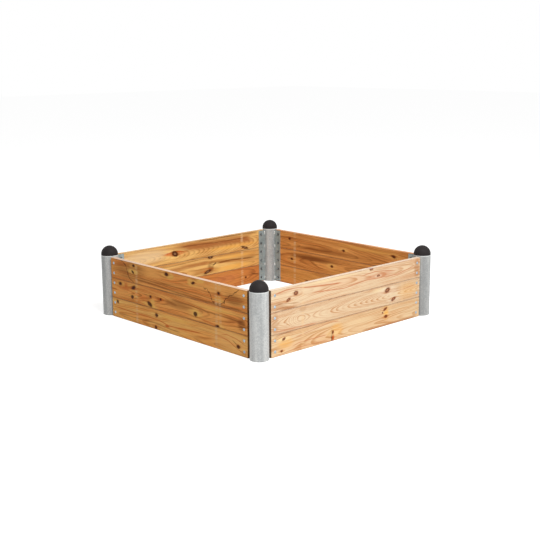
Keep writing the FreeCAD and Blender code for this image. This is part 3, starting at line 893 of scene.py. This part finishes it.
# %% [markdown]
# ## Galvanised tubes
#
# The posts are steel tubes dipped in molten zinc. Fresh zinc is a soft grey metal with a faint pattern of
# crystals, and the tube keeps fine upright lines from the rolls that drew it. A plain metal shader would
# mirror the studio and look like chrome. Weathered zinc has a dull skin, so the shader is only a little
# metallic, and its tone mixes crystals, draw lines, broad bands and clouds. Just below a tube's cut end a
# brighter band is a painted highlight. Each tube has its own bands, and its own grey, which paints in how
# bright that post looks in the light.

# %% A zinc finish
LINE_WIDTH = 0.0016
BROAD_WIDTH = 0.022
CLOUD_LUMP = (0.03, 0.03, 0.07)
RIM_FADE = (0.006, 0.003)
DRAW_DEPTH = 0.00008
# A painted highlight for the band just below a tube's cut end:
PAINTED_RIM_HIGHLIGHT = colour(230, 232, 230)


def galvanised(name, light, dark, roughness, shine, crystals, line_height, seed=3, rim=None, ripple=None):
    """Light and dark are the tones of the zinc, crystals their size, line_height how long the draw lines run.
    A rim is the height of a tube's cut end. A ripple is the distance from one wave of a weld bead to the
    next."""
    finish = Finish(name)
    place = place_in_metres(finish)
    size = {"Vector": place, "Scale": 1 / crystals}
    crystal = part(finish.node("ShaderNodeTexVoronoi", {"feature": "F1"}, size, "Color"), 0)
    lines = noise(place, (LINE_WIDTH, LINE_WIDTH, line_height), seed, detail=3)
    broad = noise(place, (BROAD_WIDTH, BROAD_WIDTH, line_height * 4), seed * 3, detail=1)
    cloud = noise(place, CLOUD_LUMP, 7, detail=4)
    tone = crystal * 0.14 + lines * 0.16 + broad * 0.46 + cloud * 0.24
    tint = blend(ramp(tone, 0.32, 0.66), dark, light)
    # Just below a tube's cut end a band of painted highlight brightens the zinc.
    if rim:
        start, full = (rim - fade for fade in RIM_FADE)
        tint = blend(ramp(part(place, UP), start, full) * 0.8, tint, PAINTED_RIM_HIGHLIGHT)
    relief = lines * 0.7 + crystal * 0.3
    if ripple:
        relief = relief + (part(place, UP) * (math.tau / ripple)).maths("SINE") * 2.5
    finish.set(Base_Color=tint, Metallic=shine * (crystal * 0.5 + 0.75))
    finish.set(Roughness=roughness + crystal * 0.08 + lines * 0.06, Normal=bump(relief, DRAW_DEPTH))
    return finish.material


print("draw lines are", round(LINE_WIDTH * MILLIMETRES, 1), "mm wide")

# %% Four tubes
# Each post's grey is painted light and shade: it sets how bright that post looks in the light.
TUBE_SHADED_GREY_AND_SEED = {"front_right": (213, 4), "front_left": (198, 11), "back_right": (192, 5), "back_left": (194, 7)}
TUBE_SHADE = 44
tube_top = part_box("front_right_post_tube")[1].z
for post, (grey, seed) in TUBE_SHADED_GREY_AND_SEED.items():
    light = colour(grey, grey + 1, grey - 2)
    dark = colour(grey - TUBE_SHADE, grey - TUBE_SHADE + 2, grey - TUBE_SHADE + 2)
    zinc = galvanised(
        f"galvanised_tube_{post}", light, dark, roughness=0.44, shine=0.14,
        crystals=0.005, line_height=0.25, seed=seed, rim=tube_top,
    )
    dress(f"{post}_post_tube", zinc)
print("tubes:", len(TUBE_SHADED_GREY_AND_SEED), "rims at", round(tube_top, 4), "m")

# %% [markdown]
# ## Fins and weld beads
#
# The fins are flat bars with larger crystals and a colder grey, and short weld beads join them to the
# tubes. A bead is laid in small overlapping pools. Their waves could be modelled, but they are a fraction
# of a millimetre high, so a sine along the bead feeds the bump and catches the light just as well.

# %% Dress the fins and welds
def dress_all(ending, material):
    """Gives a finish to every piece whose name ends so."""
    matching = [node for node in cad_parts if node.endswith(ending)]
    for node in matching:
        dress(node, material)
    print(f"{ending}:", len(matching), "pieces,", len(material.node_tree.nodes), "nodes in the finish")


fin_zinc = galvanised(
    "galvanised_fin", light=colour(178, 190, 190), dark=colour(142, 156, 156),
    roughness=0.42, shine=0.40, crystals=0.008, line_height=0.10,
)
dress_all("_fin", fin_zinc)
weld_zinc = galvanised(
    "weld_bead", light=colour(222, 222, 218), dark=colour(190, 190, 186),
    roughness=0.32, shine=0.60, crystals=0.004, line_height=0.01, ripple=0.0022,
)
dress_all("_welds", weld_zinc)

# %% [markdown]
# ## Bolts, washers and nuts
#
# The fasteners are plated, not dipped, so their crystals are finer and they shine more. The round bolt
# heads look slightly blue in the open. The nuts and washers inside the bed get darker tones, which paint
# in the shade that they sit in. One material could serve all three, but the picture shows pale heads on
# the planks and dark dots inside on the fins. So one recipe gets three sets of values.

# %% Dress the fasteners
PLATED_CRYSTALS = 0.003

# Light tone, dark tone, roughness and shine
FASTENERS = {
    "bolt": (colour(192, 206, 216), colour(148, 164, 176), 0.30, 0.45),
    # The washers and nuts have darker tones as painted shade, because they sit in shade inside the bed.
    "washer": (colour(150, 152, 150), colour(120, 122, 120), 0.36, 0.70),
    "nut": (colour(100, 102, 98), colour(70, 72, 70), 0.40, 0.70),
}
for fastener, looks in FASTENERS.items():
    dress_all(f"_{fastener}s", galvanised(f"zinc_{fastener}", *looks, PLATED_CRYSTALS, PLATED_CRYSTALS))

# %% [markdown]
# ## Black plastic domes
#
# The caps are moulded in matte black plastic with the fine grain of an eroded mould. Pure black with a
# smooth highlight would look like a hole with a lamp in it. So the colour is a warm dark grey, as even
# black plastic sends back some light, and a fine bump breaks up the highlight.

# %% Cap plastic
MOULD_GRAIN = 0.0011
MOULD_DEPTH = 0.00025
CAP_CLOUD = 0.02


def moulded_plastic(name, darker, lighter):
    """Matte moulded plastic whose colour drifts softly between two tones."""
    finish = Finish(name)
    place = place_in_metres(finish)
    grain = noise(place, (MOULD_GRAIN,) * 3, 2, detail=3)
    cloud = noise(place, (CAP_CLOUD,) * 3, 5, detail=3)
    finish.set(Base_Color=blend(cloud, darker, lighter), Roughness=0.60 + grain * 0.14)
    finish.set(Normal=bump(grain, MOULD_DEPTH), Specular_IOR_Level=0.18)
    return finish.material


dress_all("_cap", moulded_plastic("black_plastic_cap", colour(32, 28, 28), colour(44, 39, 39)))

# %% [markdown]
# ## Floor
#
# The bed stands on plain white with a faint shadow at its feet. A bright lamp could bleach the floor, but
# it would bleach the planks too. So the floor is painted twice: to the bed it is a pale matte sheet that
# sends light up onto the steel, and to the eye, straight or by way of a gloss, it also glows just enough
# for its own shade to fade into the white background while the shadow at the planks stays.

# %% Floor and backdrop
FLOOR_HALF = 30.0
FLOOR_GLOW = (0.75, 0.75, 0.75, 1)
FLOOR_PAINT = (0.55, 0.55, 0.55, 1)
NO_GLOW = (0, 0, 0, 1)


def seen_by_eye(network):
    """1 for rays that come from the camera, straight or by way of a glossy or clear surface, 0 for others."""
    rays = ("Is Camera Ray", "Is Glossy Ray", "Is Transmission Ray")
    camera, glossy, clear = (network.node("ShaderNodeLightPath", output=ray) for ray in rays)
    return camera.maths("MAXIMUM", glossy).maths("MAXIMUM", clear)


def white_floor():
    mesh = bpy.data.meshes.new("floor")
    corners = [(x, y, 0) for x, y in ((-1, -1), (1, -1), (1, 1), (-1, 1))]
    mesh.from_pydata([Vector(corner) * FLOOR_HALF for corner in corners], [], [(0, 1, 2, 3)])
    floor = bpy.data.objects.new("floor", mesh)
    bpy.context.scene.collection.objects.link(floor)
    finish = Finish("floor_white")
    finish.set(Base_Color=FLOOR_PAINT, Roughness=0.9, Specular_IOR_Level=0.0)
    finish.set(Emission_Color=blend(seen_by_eye(finish), NO_GLOW, FLOOR_GLOW), Emission_Strength=1.0)
    mesh.materials.append(finish.material)
    return floor


white_floor()
print("floor:", 2 * FLOOR_HALF, "m wide")

# %% [markdown]
# ## Light
#
# In the picture the light is soft and comes from the upper right: the right side is bright, the front side
# is in gentle shade, and no edge throws a hard shadow. Several lamps could share the work, but one large
# round lamp gives the direction, and an even sky fills the shade without a shadow of its own. The eye sees
# that sky as plain white.

# %% Soft light
SKY = 0.42
KEY_PLACE = Vector((4.3, -1.0, 5.6))
KEY_POWER = 410
KEY_SIZE = 3.5


def studio_sky():
    """A world that lights the bed evenly from all round and shows as plain white."""
    world = bpy.data.worlds.new("studio")
    world.use_nodes = True
    sky = Network(world.node_tree)
    background = sky.tree.nodes["Background"]
    sky.feed(background.inputs["Color"], (1, 1, 1, 1))
    sky.feed(background.inputs["Strength"], seen_by_eye(sky) * (1 - SKY) + SKY)
    bpy.context.scene.world = world


def key_light():
    """A round lamp that points at the middle of the bed."""
    lamp = bpy.data.objects.new("key_light", bpy.data.lights.new("key_light", "AREA"))
    lamp.data.energy = KEY_POWER
    lamp.data.shape = "DISK"
    lamp.data.size = KEY_SIZE
    lamp.location = KEY_PLACE
    lamp.rotation_euler = (-KEY_PLACE).to_track_quat("-Z", "Y").to_euler()
    bpy.context.scene.collection.objects.link(lamp)


studio_sky()
key_light()
bpy.context.scene.view_settings.view_transform = "Standard"
print("key light:", KEY_SIZE, "m across,", round(KEY_PLACE.length, 1), "m away")

# %% [markdown]
# ## Sizes and finish
#
# The finishes change nothing about the bed's size.
